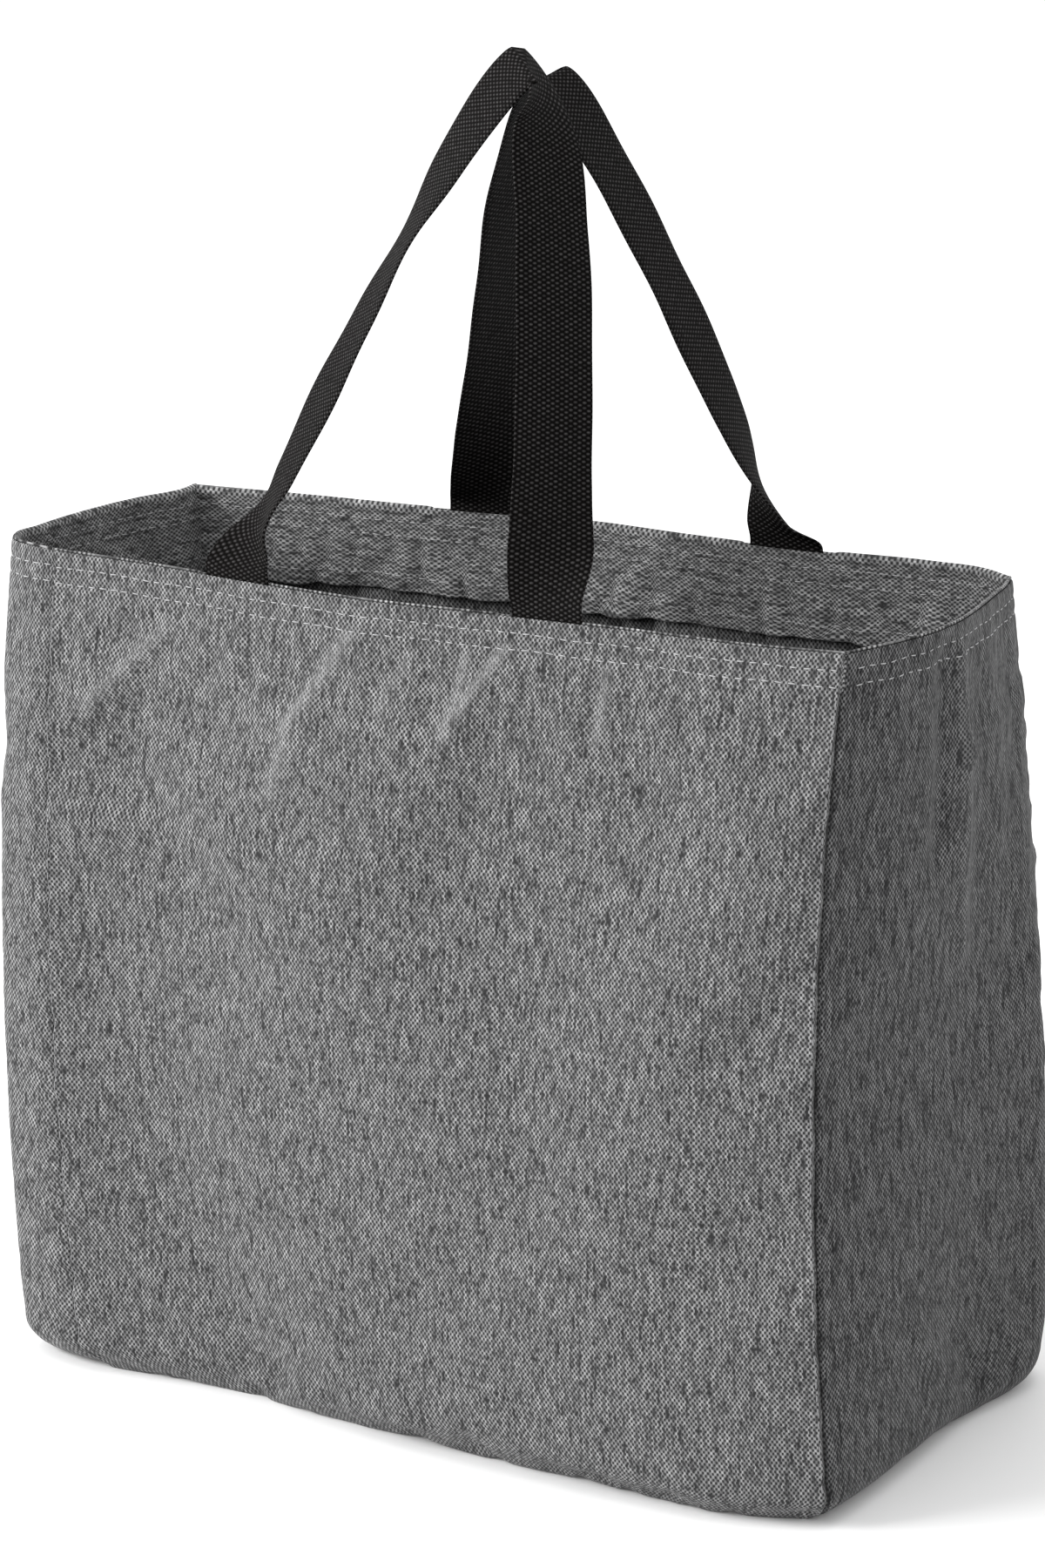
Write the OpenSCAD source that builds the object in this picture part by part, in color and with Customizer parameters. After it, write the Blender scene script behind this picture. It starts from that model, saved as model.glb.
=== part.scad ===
// Open-top gusseted fabric tote with two webbing carrying handles.
// Millimetres, +Z up, front panel facing -Y, floor at Z = 0, origin under the middle.

/* [Bag body] */
// Width of the front and back panels at the rim
body_w = 330; // [260:1:420]
// Height from the floor to the rim
body_h = 320; // [240:1:420]
// Depth from front to back at the rim
rim_d = 124; // [100:1:190]
// Width of the front and back panels at the floor
base_w = 312; // [240:1:420]
// Depth from front to back at the floor
base_d = 168; // [120:1:240]
// How far the middle of each side gusset bows outward
side_bow = 15; // [4:1:30]
// Radius with which the panels curve under at the floor
base_r = 14; // [6:1:24]
// Thickness of one layer of coated canvas
cloth_t = 0.8; // [0.5:0.1:1.5]

/* [Facing and seams] */
// Depth of the facing turned inside the rim
facing_h = 34; // [24:1:60]
// Width of the seam allowance inside each corner
allowance_w = 9; // [5:1:15]
// Thickness of the sewing thread where it stands proud
thread_t = 0.3; // [0.2:0.1:0.6]
// Width of one row of stitches
thread_w = 0.7; // [0.4:0.1:1.2]
// Distance from the rim to the upper topstitch row
upper_row_drop = 6; // [4:0.5:10]
// Distance from the rim to the lower topstitch row
lower_row_drop = 12; // [11:0.5:20]
// Distance from the facing's free edge up to its hem row
hem_row_rise = 6; // [3:0.5:10]
// Distance from each corner to the row of stitches beside it
corner_row_inset = 2; // [1:0.5:5]
// Distance from the bottom panel's edge to its row of stitches
bottom_row_inset = 3; // [2:0.5:8]

/* [Handles] */
// Width of the webbing
web_w = 32; // [20:1:50]
// Thickness of the webbing
web_t = 1.4; // [1:0.1:2.5]
// Distance between the two ends of one handle, centre to centre
handle_span = 130; // [90:1:180]
// Height of the top of each handle above the rim
handle_rise = 189; // [120:1:300]
// Sideways place of the front handle's ends from the middle of the bag
front_handle_x = -15; // [-20:1:20]
// Sideways place of the back handle's ends from the middle of the bag
back_handle_x = 12; // [-20:1:20]
// Sideways place where the two handles meet at the top
meet_x = 10; // [-20:1:20]
// Length of webbing sewn in under the facing at each end
tail_l = 28; // [15:1:30]
// Gap between the two handles where they meet at the top
handle_gap = 2; // [1:0.5:10]
// Gap between the rim and the bottom of the free webbing
hinge_gap = 1; // [0.6:0.1:2]
// Part of the webbing's quarter turn that is made just above the rim, in degrees
quick_twist = 62; // [0:1:90]
// Share of the rise that the quick part of the turn takes
twist_run = 0.12; // [0.08:0.01:0.4]
// Share of the rise over which the webbing goes from upright to its lean
upright_run = 0.2; // [0.1:0.01:0.4]

/* [Hidden] */

// Steps along one bowed gusset edge, round the curve at the floor and along a handle
bow_steps = 16;
curve_steps = 6;
loop_steps = 44;
// Each layer's inset from the outer face: the webbing lies between panel and facing
facing_out = cloth_t + web_t;
facing_in = facing_out + cloth_t;
// Clearance at each side of the webbing where it leaves the seam
slot_clear = 0.2;
// Clearance between a row of stitches and the cloth it lies on
sew_clear = 0.02;
// Height of the walls above the curve at the floor
wall_h = body_h - base_r;
// Lean of the front and back panels away from upright, and of their side edges, in degrees
panel_lean = atan((base_d - rim_d) / 2 / wall_h);
edge_lean = atan((body_w - base_w) / 2 / wall_h);
// Roundness of a handle's legs: 1 is straight, less is rounder at the top
leg_power = 0.7;
// Middle of the webbing at the rim and where the two handles meet, front handle
web_y = -rim_d / 2 + cloth_t + web_t / 2;
meet_y = -(web_w + handle_gap) / 2;

cloth_grey = [0.42, 0.42, 0.43];
gusset_grey = [0.34, 0.34, 0.35];
inside_grey = [0.38, 0.38, 0.39];
web_black = [0.06, 0.06, 0.06];
thread_grey = [0.80, 0.80, 0.80];

// Half the width and half the depth, corner to corner, at height z above the floor curve
function share_at(z) = (z - base_r) / wall_h;
function half_w_at(z) = (base_w + (body_w - base_w) * share_at(z)) / 2;
function half_d_at(z) = (base_d + (rim_d - base_d) * share_at(z)) / 2;

// Point on the right side: s runs from -1 at the front corner to 1 at the back corner
function side_point(s, z, inset) =
    let (level = max(z, base_r))
    [half_w_at(level) - inset + side_bow * (1 - s * s), s * (half_d_at(level) - inset), z];

// Point on the front: s runs from -1 at the left corner to 1 at the right corner
function front_point(s, z, inset) =
    let (level = max(z, base_r))
    [s * (half_w_at(level) - inset), inset - half_d_at(level), z];

// Outer and inner point pairs of a panel's section, from the rim down and under to the floor
function wall_section() =
    concat([[[body_h, 0], [body_h, cloth_t]]],
           [for (i = [curve_steps : -1 : 0])
               let (a = 90 * i / curve_steps,
                    r = base_r - cloth_t)
               [[base_r * (1 - cos(a)), base_r * (1 - sin(a))],
                [base_r - r * cos(a), base_r - r * sin(a)]]]);

// Outer and inner point pairs of the facing's section, from its turned-out top edge down
function facing_section() =
    [[[body_h - cloth_t, cloth_t], [body_h, cloth_t]],
     [[body_h - cloth_t, facing_out], [body_h, facing_in]],
     [[body_h - facing_h, facing_out], [body_h - facing_h, facing_in]]];

// Section of one row of stitches on a face with the given inset
function row_section(z, inset, proud) =
    [[[z + thread_w / 2, inset - proud], [z + thread_w / 2, inset]],
     [[z - thread_w / 2, inset - proud], [z - thread_w / 2, inset]]];

// Points of a swept sheet: stations along it, then section pairs, then outer and inner
function side_points(section, steps) =
    [for (i = [0 : steps]) for (pair = section) for (p = pair)
        side_point(-1 + 2 * i / steps, p[0], p[1])];
function front_points(section, steps) =
    [for (i = [0 : steps]) for (pair = section) for (p = pair)
        front_point(-1 + 2 * i / steps, p[0], p[1])];

// A four-sided face as two triangles, from corners that run anticlockwise seen from outside
function quad(a, b, c, d) = [[c, b, a], [d, c, a]];

// Closed solid through the points of a swept sheet
module sheet(points, pairs) {
    row = 2 * pairs;
    steps = len(points) / row - 1;
    faces = [
        for (i = [0 : steps - 1])
            let (a = i * row, b = a + row)
            each concat(
                [for (j = [0 : pairs - 2])
                    let (u = 2 * j)
                    each concat(quad(a + u, a + u + 2, b + u + 2, b + u),
                                quad(a + u + 1, b + u + 1, b + u + 3, a + u + 3))],
                quad(a, b, b + 1, a + 1),
                quad(a + row - 2, a + row - 1, b + row - 1, b + row - 2)),
        for (j = [0 : pairs - 2])
            let (u = 2 * j, e = steps * row)
            each concat(quad(u, u + 1, u + 3, u + 2),
                        quad(e + u, e + u + 2, e + u + 3, e + u + 1))
    ];
    polyhedron(points, faces, convexity = 8);
}

// Turns a front-side piece to the back, or a right-side piece to the left
module facing_back(turned) {
    mirror([0, turned ? 1 : 0, 0])
        children();
}

module facing_left(turned) {
    mirror([turned ? 1 : 0, 0, 0])
        children();
}

// Front panel, curved under at the floor and mitred to the gussets
module main_panel(back) {
    section = wall_section();
    color(cloth_grey)
        facing_back(back)
            sheet(front_points(section, 1), len(section));
}

// Side gusset with the seam allowances of both corners turned inside
module gusset(left) {
    section = wall_section();
    color(gusset_grey)
        facing_left(left) {
            sheet(side_points(section, bow_steps), len(section));
            for (side = [-1, 1])
                mirror([0, side > 0 ? 1 : 0, 0])
                    seam_allowance();
        }
}

// Two layers of cloth against the inside of the front panel at its right corner
module seam_allowance() {
    length = wall_h - facing_h;
    on_corner()
        translate([-cloth_t / 2 - allowance_w, cloth_t, -wall_h])
            cube([allowance_w, 2 * cloth_t, length]);
}

module bottom_panel() {
    color(cloth_grey)
        linear_extrude(cloth_t)
            floor_outline(0);
}

// Flat of the floor inside the curved-under edges
module floor_outline(inset) {
    right = [for (i = [0 : bow_steps])
                let (p = side_point(-1 + 2 * i / bow_steps, base_r, base_r + inset))
                [p[0], p[1]]];
    polygon(concat(right, [for (p = right) [-p[0], -p[1]]]));
}

// Children placed in the plane of the front panel: X along it, Y inward from its outer face,
// Z = 0 at the rim
module on_panel() {
    translate([0, -rim_d / 2, body_h])
        rotate([-panel_lean, 0, 0])
            children();
}

// As on_panel, with X = 0 on the panel's right edge and Z along that edge
module on_corner() {
    on_panel()
        translate([body_w / 2, 0, 0])
            rotate([0, edge_lean, 0])
                children();
}

// Facing of a main panel: its top edge turns out to the panel, except where webbing comes out
module main_facing(back, middle_x) {
    slot_w = web_w + 2 * slot_clear;
    color(inside_grey)
        facing_back(back)
            difference() {
                on_panel()
                    difference() {
                        translate([-body_w / 2, cloth_t, -facing_h])
                            cube([body_w, web_t + cloth_t, facing_h]);
                        translate([-body_w, 0, -2 * facing_h])
                            cube([2 * body_w, facing_out, 2 * facing_h - cloth_t]);
                        for (end = [-1, 1])
                            translate([middle_x + end * handle_span / 2 - slot_w / 2, 0, -facing_h])
                                cube([slot_w, facing_out, 2 * facing_h]);
                    }
                for (left = [false, true])
                    facing_left(left)
                        on_corner()
                            translate([-facing_in, -cloth_t, -2 * facing_h])
                                cube([body_w, 4 * facing_in, 4 * facing_h]);
            }
}

// Facing of a gusset: its top edge turns out to the gusset
module side_facing(left) {
    section = facing_section();
    color(inside_grey)
        facing_left(left)
            sheet(side_points(section, bow_steps), len(section));
}

// Webbing sewn in under the facing, both ends of one handle
module handle_ends(back, middle_x) {
    color(web_black)
        facing_back(back)
            on_panel()
                for (end = [-1, 1])
                    translate([middle_x + end * handle_span / 2 - web_w / 2, cloth_t, -tail_l])
                        cube([web_w, web_t, tail_l]);
}

// Share of the rise reached at t, from -1 at the left end to 1 at the right end
function rise_at(t) = 1 - pow(abs(t), 1 / leg_power);

// Centre line of the front handle's free webbing
function loop_point(t, middle_x) =
    let (v = rise_at(t))
    [middle_x * (1 - v) + meet_x * v + t * handle_span / 2,
     web_y + (meet_y - web_y) * v,
     body_h + hinge_gap + (handle_rise - hinge_gap) * v];

// Turn of the webbing about its length, 0 flat to the rim and 90 across it
function twist_at(v) = quick_twist * (1 - exp(-v / twist_run)) + (90 - quick_twist) * pow(v, 3);

function unit(a) = a / norm(a);

// Direction along the webbing, upright where it leaves the seam
function loop_direction(t, middle_x) =
    let (ahead = min(1, t + 1 / loop_steps),
         behind = max(-1, t - 1 / loop_steps),
         leaning = unit(loop_point(ahead, middle_x) - loop_point(behind, middle_x)),
         upright = [0, 0, t < 0 ? 1 : -1],
         k = min(1, rise_at(t) / upright_run))
    unit(leaning * k + upright * (1 - k));

// The four corners of the webbing at step i
function loop_corners(i, middle_x) =
    let (t = sin(90 * (-1 + 2 * i / loop_steps)),
         here = loop_point(t, middle_x),
         along = loop_direction(t, middle_x),
         a = twist_at(rise_at(t)),
         flat = [t <= 0 ? cos(a) : -cos(a), -sin(a), 0],
         through = unit(cross(along, flat)),
         across = unit(cross(through, along)))
    [for (c = [[-1, -1], [1, -1], [1, 1], [-1, 1]])
        here + c[0] * across * web_w / 2 + c[1] * through * web_t / 2];

// Twisted strip of webbing, from one end over the top to the other
module handle(back, middle_x) {
    points = [for (i = [0 : loop_steps]) each loop_corners(i, middle_x)];
    last = 4 * loop_steps;
    sides = [for (i = [0 : loop_steps - 1]) for (j = [0 : 3])
                let (a = 4 * i + j, b = 4 * i + (j + 1) % 4)
                each quad(a, b, b + 4, a + 4)];
    ends = concat(quad(0, 3, 2, 1), quad(last, last + 1, last + 2, last + 3));
    color(web_black)
        facing_back(back)
            polyhedron(points, concat(sides, ends), convexity = 6);
}

// One row of stitches round the body, on the face with the given inset
module stitch_row(z, inset, proud) {
    section = row_section(z, inset, proud);
    color(thread_grey) {
        for (turned = [false, true]) {
            facing_back(turned)
                sheet(front_points(section, 1), len(section));
            facing_left(turned)
                sheet(side_points(section, bow_steps), len(section));
        }
    }
}

// Rows of stitches beside the four corner seams, on the front and back panels
module corner_seam_stitch() {
    length = wall_h - lower_row_drop - 2 * thread_w;
    color(thread_grey)
        for (back = [false, true], left = [false, true])
            facing_back(back)
                facing_left(left)
                    on_corner()
                        translate([-corner_row_inset - thread_w, -thread_t, -wall_h])
                            cube([thread_w, thread_t, length]);
}

// Row of stitches inside, round the bottom panel
module bottom_seam_stitch() {
    color(thread_grey)
        translate([0, 0, cloth_t])
            linear_extrude(thread_t)
                difference() {
                    floor_outline(bottom_row_inset);
                    floor_outline(bottom_row_inset + thread_w);
                }
}

main_panel(false);  // front_panel
main_panel(true);  // back_panel
gusset(true);  // left_gusset
gusset(false);  // right_gusset
bottom_panel();
main_facing(false, front_handle_x);  // front_facing
main_facing(true, back_handle_x);  // back_facing
side_facing(true);  // left_facing
side_facing(false);  // right_facing
handle(false, front_handle_x);  // front_handle
handle(true, back_handle_x);  // back_handle
handle_ends(false, front_handle_x);  // front_handle_ends
handle_ends(true, back_handle_x);  // back_handle_ends
stitch_row(body_h - upper_row_drop, -sew_clear, thread_t);  // rim_topstitch_upper
stitch_row(body_h - lower_row_drop, -sew_clear, thread_t);  // rim_topstitch_lower
stitch_row(body_h - facing_h + hem_row_rise,  // facing_hem_stitch
               facing_in / cos(panel_lean) + sew_clear + thread_t, thread_t);
corner_seam_stitch();
bottom_seam_stitch();
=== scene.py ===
# Open-top gusseted shopping tote: heather canvas, topstitched rim, two webbing handles
import bpy
import math
import numpy as np
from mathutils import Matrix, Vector


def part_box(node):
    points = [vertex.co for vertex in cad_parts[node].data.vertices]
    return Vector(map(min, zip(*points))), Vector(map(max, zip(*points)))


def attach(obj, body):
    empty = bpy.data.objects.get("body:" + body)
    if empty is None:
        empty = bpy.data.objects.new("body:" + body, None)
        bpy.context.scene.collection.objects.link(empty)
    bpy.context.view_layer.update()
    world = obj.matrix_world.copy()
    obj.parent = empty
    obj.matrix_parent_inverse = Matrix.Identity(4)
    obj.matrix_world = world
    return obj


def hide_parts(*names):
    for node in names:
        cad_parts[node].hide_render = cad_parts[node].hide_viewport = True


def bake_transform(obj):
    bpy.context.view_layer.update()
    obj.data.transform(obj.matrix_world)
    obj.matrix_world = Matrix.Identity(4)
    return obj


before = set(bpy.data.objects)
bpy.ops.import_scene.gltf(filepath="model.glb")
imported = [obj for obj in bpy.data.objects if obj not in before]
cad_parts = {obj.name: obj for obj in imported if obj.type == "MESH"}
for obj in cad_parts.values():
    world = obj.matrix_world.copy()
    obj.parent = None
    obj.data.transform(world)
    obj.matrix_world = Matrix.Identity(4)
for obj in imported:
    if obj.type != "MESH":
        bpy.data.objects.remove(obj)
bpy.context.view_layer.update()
bpy.ops.object.select_all(action="DESELECT")
bpy.context.scene.view_settings.view_transform = "Standard"
millimetre = 0.001

# camera and light
view = {
    "target": (-0.0006, 0.0, 0.2348),
    "azimuth": 27.1,      # degrees toward the right gusset
    "elevation": 16.57,
    "distance": 2.0,
    "lens": 122.9,
}
light = {
    "skyStrength": 0.97, "backdropLift": 0.10,
    "keyPower": 135.0, "keySize": 1.8, "keyPlace": (-2.7, -1.95, 1.8),
    "topPower": 12.0, "topSize": 2.2, "topPlace": (0.0, 0.3, 2.6),
    "floorTone": 0.97, "floorSize": 8.0,
}


def aim(thing, place, target):
    thing.location = place
    thing.rotation_euler = (Vector(target) - Vector(place)).to_track_quat("-Z", "Y").to_euler()


def placeCamera():
    bpy.ops.object.camera_add()
    camera = bpy.context.object
    camera.name = "studioCamera"
    camera.data.lens = view["lens"]
    camera.data.clip_end = 60
    turn, rise = math.radians(view["azimuth"]), math.radians(view["elevation"])
    back = Vector((math.sin(turn) * math.cos(rise), -math.cos(turn) * math.cos(rise), math.sin(rise)))
    aim(camera, Vector(view["target"]) + back * view["distance"], view["target"])
    bpy.context.scene.camera = camera


def softLamp(name, power, size, place):
    bpy.ops.object.light_add(type="AREA")
    lamp = bpy.context.object
    lamp.name = name
    lamp.data.energy = power
    lamp.data.size = size
    aim(lamp, place, (0, 0, 0.2))


def layStage():
    world = bpy.data.worlds.new("studioSky")
    world.use_nodes = True
    sky = world.node_tree.nodes["Background"]
    sky.inputs["Color"].default_value = (1, 1, 1, 1)
    # the far backdrop is seen white, a little brighter than it lights
    seen = world.node_tree.nodes.new("ShaderNodeLightPath")
    strength = world.node_tree.nodes.new("ShaderNodeMath")
    strength.operation = "MULTIPLY_ADD"
    strength.inputs[1].default_value = light["backdropLift"]
    strength.inputs[2].default_value = light["skyStrength"]
    world.node_tree.links.new(seen.outputs["Is Camera Ray"], strength.inputs[0])
    world.node_tree.links.new(strength.outputs[0], sky.inputs["Strength"])
    bpy.context.scene.world = world
    softLamp("keyLamp", light["keyPower"], light["keySize"], light["keyPlace"])
    softLamp("topLamp", light["topPower"], light["topSize"], light["topPlace"])
    bpy.ops.mesh.primitive_plane_add(size=light["floorSize"])
    floor = bpy.context.object
    floor.name = "studioFloor"
    paint = bpy.data.materials.new("paleFloor")
    paint.use_nodes = True
    shader = paint.node_tree.nodes["Principled BSDF"]
    tone = light["floorTone"]
    shader.inputs["Base Color"].default_value = (tone, tone, tone, 1)
    shader.inputs["Roughness"].default_value = 0.9
    floor.data.materials.append(paint)


placeCamera()
layStage()
print("stage laid")

# sizes of the bag
panelLow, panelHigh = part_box("front_panel")
bag = {
    "height": panelHigh.z,
    "rimHalfWidth": panelHigh.x,
    "rimHalfDepth": 0.062,
    "baseHalfWidth": 0.156,
    "baseHalfDepth": -panelLow.y,
    "floorRadius": 0.014,     # the panels curve under at the floor
    "clothThick": 0.0008,
    "webThick": 0.0014,
    "facingDepth": 0.034,
    "rowDrops": (0.006, 0.012),
    "hemDrop": 0.028,
}
bag["wall"] = bag["height"] - bag["floorRadius"]
bag["cut"] = bag["wall"] + bag["floorRadius"] * math.pi / 2    # rim to floor seam along the cloth

# how far each wall stands out from straight at the rim and at the floor: place along it from -1 to 1,
# then millimetres; walls run anticlockwise seen from above
walls = {
    "front": {
        "long": True, "turned": False,
        "rimBow": [(-1, 0), (-0.7, 3), (-0.45, 8), (-0.15, 12), (0.2, 8), (0.5, 6), (0.8, 5), (1, 0)],
        "floorBow": [(-1, 0), (-0.75, -4), (-0.55, -4), (-0.35, 1), (-0.1, 5), (0.4, 10.5),
                     (0.6, 11), (0.8, 9.5), (1, 0)],
    },
    "right": {
        "long": False, "turned": False,
        "rimBow": [(-1, 0), (-0.6, 9), (-0.4, 12), (-0.1, 13), (0.3, 10), (0.55, 7), (0.8, 4), (1, 0)],
        "floorBow": [(-1, 0), (-0.6, 4), (-0.2, 6), (0.2, 8), (0.5, 13), (0.8, 16), (0.93, 10), (1, 0)],
    },
    "back": {
        "long": True, "turned": True,
        "rimBow": [(-1, 0), (-0.92, 8), (-0.8, 10), (-0.5, 7), (-0.2, 9), (0, 12), (0.2, 11),
                   (0.4, 7), (0.7, 4), (1, 0)],
        "floorBow": [(-1, 0), (-0.8, 5), (-0.5, 3), (0, 1), (0.5, 4), (1, 0)],
    },
    "left": {
        "long": False, "turned": True,
        "rimBow": [(-1, 0), (-0.8, 1), (-0.5, 9), (0, 18), (0.5, 23), (0.78, 24), (0.92, 16), (1, 0)],
        "floorBow": [(-1, 0), (-0.5, 10), (0, 18), (0.5, 25), (0.78, 29), (0.92, 23), (1, 0)],
    },
}
# how far each corner leans from the square plan, in mm
corners = {
    "rim": {(-1, -1): (-1, -1), (1, -1): (-6.5, -2), (1, 1): (4.5, -0.5), (-1, 1): (-7, -10)},
    "middle": {(-1, -1): (-8, 0), (1, -1): (-8, 0), (1, 1): (5, 2), (-1, 1): (-4, 0)},
    "floor": {(-1, -1): (3, 3), (1, -1): (11, -2), (1, 1): (11, 9), (-1, 1): (0, 0)},
}
# soft creases: ends as (place along the wall, height) in mm, half width mm, height mm, and for some how much
# the ridge is painted lighter, as wear and as a painted highlight
creases = {
    "front": [
        ((-29, 305), (-51, 270), 2.6, 0.9, 0.7), ((-51, 270), (-58, 244), 3.0, 0.55, 0.4),
        ((33, 307), (25, 295), 1.8, 0.9, 0.9), ((25, 295), (13, 278), 2.3, 0.9, 0.7),
        ((19, 303), (13, 274), 1.8, 0.6, 0.55), ((75, 304), (72, 278), 1.7, 0.7, 0.5),
        ((-113, 295), (-143, 264), 2.8, 0.8, 0.45), ((-4, 300), (-14, 280), 2.2, 0.4, 0.3),
        ((-78, 298), (-92, 262), 3.5, 0.45), ((112, 300), (104, 262), 4.0, -0.6),
        ((122, 168), (143, 186), 7.0, -1.3), ((110, 120), (140, 150), 9.0, 0.7),
        ((-120, 40), (-95, 18), 7.0, 1.2), ((-60, 34), (-46, 12), 6.0, -1.4),
        ((-20, 36), (-12, 10), 7.0, 1.0), ((40, 30), (52, 8), 7.0, -1.0),
        ((95, 40), (110, 8), 8.0, 1.2), ((132, 60), (150, 14), 6.0, -1.0),
    ],
    "right": [
        ((-3, 308), (2, 270), 3.6, 2.4, 0.35), ((2, 270), (8, 196), 4.6, 1.9, 0.3),
        ((-14, 306), (-11, 236), 5.0, -2.3), ((24, 304), (30, 230), 7.0, 0.8),
        ((-40, 300), (-36, 240), 7.0, 0.6), ((44, 306), (46, 262), 4.0, -0.9),
        ((58, 170), (66, 30), 8.0, 1.6), ((-22, 52), (6, 20), 5.0, 1.3),
        ((-2, 52), (30, 14), 5.0, -1.3), ((28, 60), (50, 22), 6.0, 1.0),
    ],
    "back": [
        ((-60, 300), (-40, 250), 5.0, 0.8), ((50, 302), (68, 240), 6.0, -0.8),
        ((100, 180), (130, 120), 9.0, 1.2), ((-110, 120), (-90, 60), 9.0, -1.2),
        ((0, 40), (14, 10), 7.0, 1.1), ((70, 38), (84, 10), 7.0, -1.0),
    ],
    "left": [
        ((10, 304), (4, 220), 5.0, 1.4), ((-20, 300), (-26, 200), 7.0, -1.2),
        ((34, 300), (30, 180), 8.0, 1.0), ((0, 60), (20, 16), 6.0, 1.2),
    ],
}
seam = {
    "depth": 0.0021, "reach": 0.0011,                   # the groove at each corner
    "pucker": 0.00026, "puckerPitch": 0.017, "puckerReach": 0.007,
    "puckerFrom": 0.02, "puckerFull": 0.05,             # distances below the rim
}
stitch = {
    "pitch": 0.0049, "share": 0.58, "wide": 0.00052, "proud": 0.00034,
    "cornerInset": 0.0022, "dimple": 0.00022, "dimpleReach": 0.0011,
    "waver": 0.00025, "slant": 0.22, "uneven": 0.10,
    "clear": 0.00012, "floorInset": 0.003, "floorLift": 0.0010, "cornerStart": 0.004,
    "outerEnd": 0.992, "innerEnd": 0.985, "floorEnd": 0.94,   # places along the wall where rows stop
}


# smooth line through a few given points
def curveThrough(points, at):
    px = np.array([p[0] for p in points], float)
    py = np.array([p[1] for p in points], float)
    slope = np.gradient(py, px)
    at = np.clip(at, px[0], px[-1])
    i = np.clip(np.searchsorted(px, at, side="right") - 1, 0, len(px) - 2)
    gap = px[i + 1] - px[i]
    t = (at - px[i]) / gap
    return ((2 * t**3 - 3 * t**2 + 1) * py[i] + (t**3 - 2 * t**2 + t) * gap * slope[i]
            + (3 * t**2 - 2 * t**3) * py[i + 1] + (t**3 - t**2) * gap * slope[i + 1])


# distance along a line of places, from its start
def runAlong(path):
    return np.concatenate([[0], np.cumsum(np.linalg.norm(np.diff(path, axis=0), axis=1))])


def smoothStep(low, high, at):
    t = np.clip((at - low) / (high - low), 0, 1)
    return t * t * (3 - 2 * t)


def halfWidthAt(z):
    up = np.clip((z - bag["floorRadius"]) / bag["wall"], 0, 1)
    return bag["baseHalfWidth"] + (bag["rimHalfWidth"] - bag["baseHalfWidth"]) * up


def halfDepthAt(z):
    up = np.clip((z - bag["floorRadius"]) / bag["wall"], 0, 1)
    return bag["baseHalfDepth"] + (bag["rimHalfDepth"] - bag["baseHalfDepth"]) * up


def rimHalf(wall):
    return bag["rimHalfWidth"] if walls[wall]["long"] else bag["rimHalfDepth"]


# height of the soft creases at a place, in metres, and how much the cloth there is painted lighter, as wear
# and as a painted highlight
def creaseField(wall, along, z):
    total, wearAndHighlight = np.zeros_like(along), np.zeros_like(along)
    for start, end, wide, high, *wearAndHighlightShare in creases[wall]:
        a, b = np.array(start) * millimetre, np.array(end) * millimetre
        d = b - a
        length = np.linalg.norm(d)
        d = d / length
        run = (along - a[0]) * d[0] + (z - a[1]) * d[1]
        across = (along - a[0]) * -d[1] + (z - a[1]) * d[0]
        past = np.maximum(0, np.abs(run - length / 2) - length / 2)
        w = wide * millimetre
        fall = np.exp(-(across / w) ** 2 - (past / (1.6 * w)) ** 2)
        total = total + high * millimetre * fall
        if wearAndHighlightShare:
            wearAndHighlight = np.maximum(wearAndHighlight, fall * wearAndHighlightShare[0])
    return total, wearAndHighlight


sagGrid = {}      # what the cloth simulation adds, one array per wall


# smooth value of a coarse grid at fractional rows and columns
def sampleGrid(grid, row, col):
    def weights(t):
        return (-0.5 * t + t**2 - 0.5 * t**3, 1 - 2.5 * t**2 + 1.5 * t**3,
                0.5 * t + 2 * t**2 - 1.5 * t**3, -0.5 * t**2 + 0.5 * t**3)
    rows, cols = grid.shape[:2]
    r0 = np.clip(np.floor(row).astype(int), 0, rows - 2)
    c0 = np.clip(np.floor(col).astype(int), 0, cols - 2)
    wr, wc = weights(row - r0), weights(col - c0)
    out = 0
    for i in range(4):
        for j in range(4):
            value = grid[np.clip(r0 + i - 1, 0, rows - 1), np.clip(c0 + j - 1, 0, cols - 1)]
            out = out + (wr[i] * wc[j])[..., None] * value
    return out


# moves places with the lean of the four corners
def leanOf(point, up):
    a = np.clip(point[..., 0] / halfWidthAt(point[..., 2]), -1, 1)
    b = np.clip(point[..., 1] / halfDepthAt(point[..., 2]), -1, 1)
    move = np.zeros_like(point)
    for level, share in (("rim", up), ("middle", 4 * up * (1 - up)), ("floor", 1 - up)):
        for (i, j), shift in corners[level].items():
            weight = (1 + i * a) * (1 + j * b) / 4 * share * millimetre
            move[..., 0] += weight * shift[0]
            move[..., 1] += weight * shift[1]
    return point + move


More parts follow.
